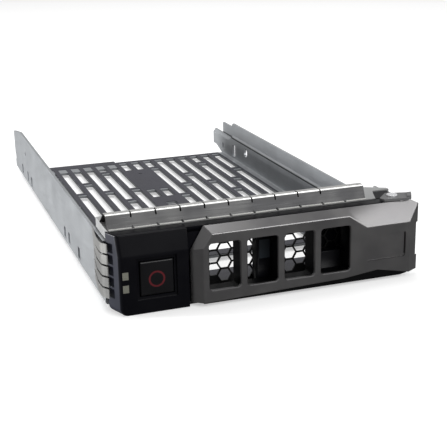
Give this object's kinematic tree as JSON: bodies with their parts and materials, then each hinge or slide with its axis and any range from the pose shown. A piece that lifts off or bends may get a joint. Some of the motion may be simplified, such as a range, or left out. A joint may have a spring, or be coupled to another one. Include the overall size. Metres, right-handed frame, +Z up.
{
  "type": "hot swap drive caddy",
  "caption": "Pierced sheet-metal tray for a 3.5 inch server drive, with a bezel, release button, hinged windowed handle and grounding finger strips at its front.",
  "frame": {"origin": "bottom centre of the closed caddy's bounding box", "axes": "+Y runs to the rear of the bay, +X to the hinge side, +Z up"},
  "size_m": [0.1098, 0.2066, 0.0313],
  "materials": {
    "zinc_sheet": "zinc-plated sheet",
    "plate_steel": "zinc-plated sheet",
    "strip_steel": "rolled spring strip",
    "pin_steel": "turned",
    "spring_steel": "drawn wire",
    "lever_steel": "satin",
    "black_sheet": "black coating",
    "slate_film": "printed film",
    "black_plastic": "fine grain",
    "button_plastic": "satin",
    "slate_pad": "matt",
    "handle_plastic": "satin",
    "light_plastic": "clear moulded",
    "red_plastic": "moulded"
  },
  "bodies": {
    "caddy": {"tray": "zinc_sheet", "insulating_film": "slate_film", "bezel": "black_plastic", "rib_pad": "slate_pad", "light_pipe_lower": "light_plastic", "light_pipe_upper": "light_plastic", "button_spring": "spring_steel", "pivot_pin": "pin_steel", "handle_spring": "spring_steel", "front_plate": "plate_steel", "grille": "black_sheet", "top_finger_strip": "strip_steel", "side_finger_strip": "strip_steel", "lip_rivets": "pin_steel", "bezel_screws": "pin_steel"},
    "handle": {"handle": "handle_plastic", "lever_plate": "lever_steel"},
    "button": {"release_button": "button_plastic", "button_ring": "red_plastic", "latch_catch": "black_plastic"}
  },
  "joints": [
    {"name": "handle_hinge", "type": "hinge", "parent": "caddy", "child": "handle", "pos_m": [0.04645, -0.09635, 0.0135], "axis": [0, 0, 1], "range_deg": [0, 50]},
    {"name": "button_press", "type": "slide", "parent": "caddy", "child": "button", "axis": [0, 1, 0], "range_m": [0, 0.0025], "stiffness_N_per_m": 300, "deforming": ["button_spring"]}
  ]
}
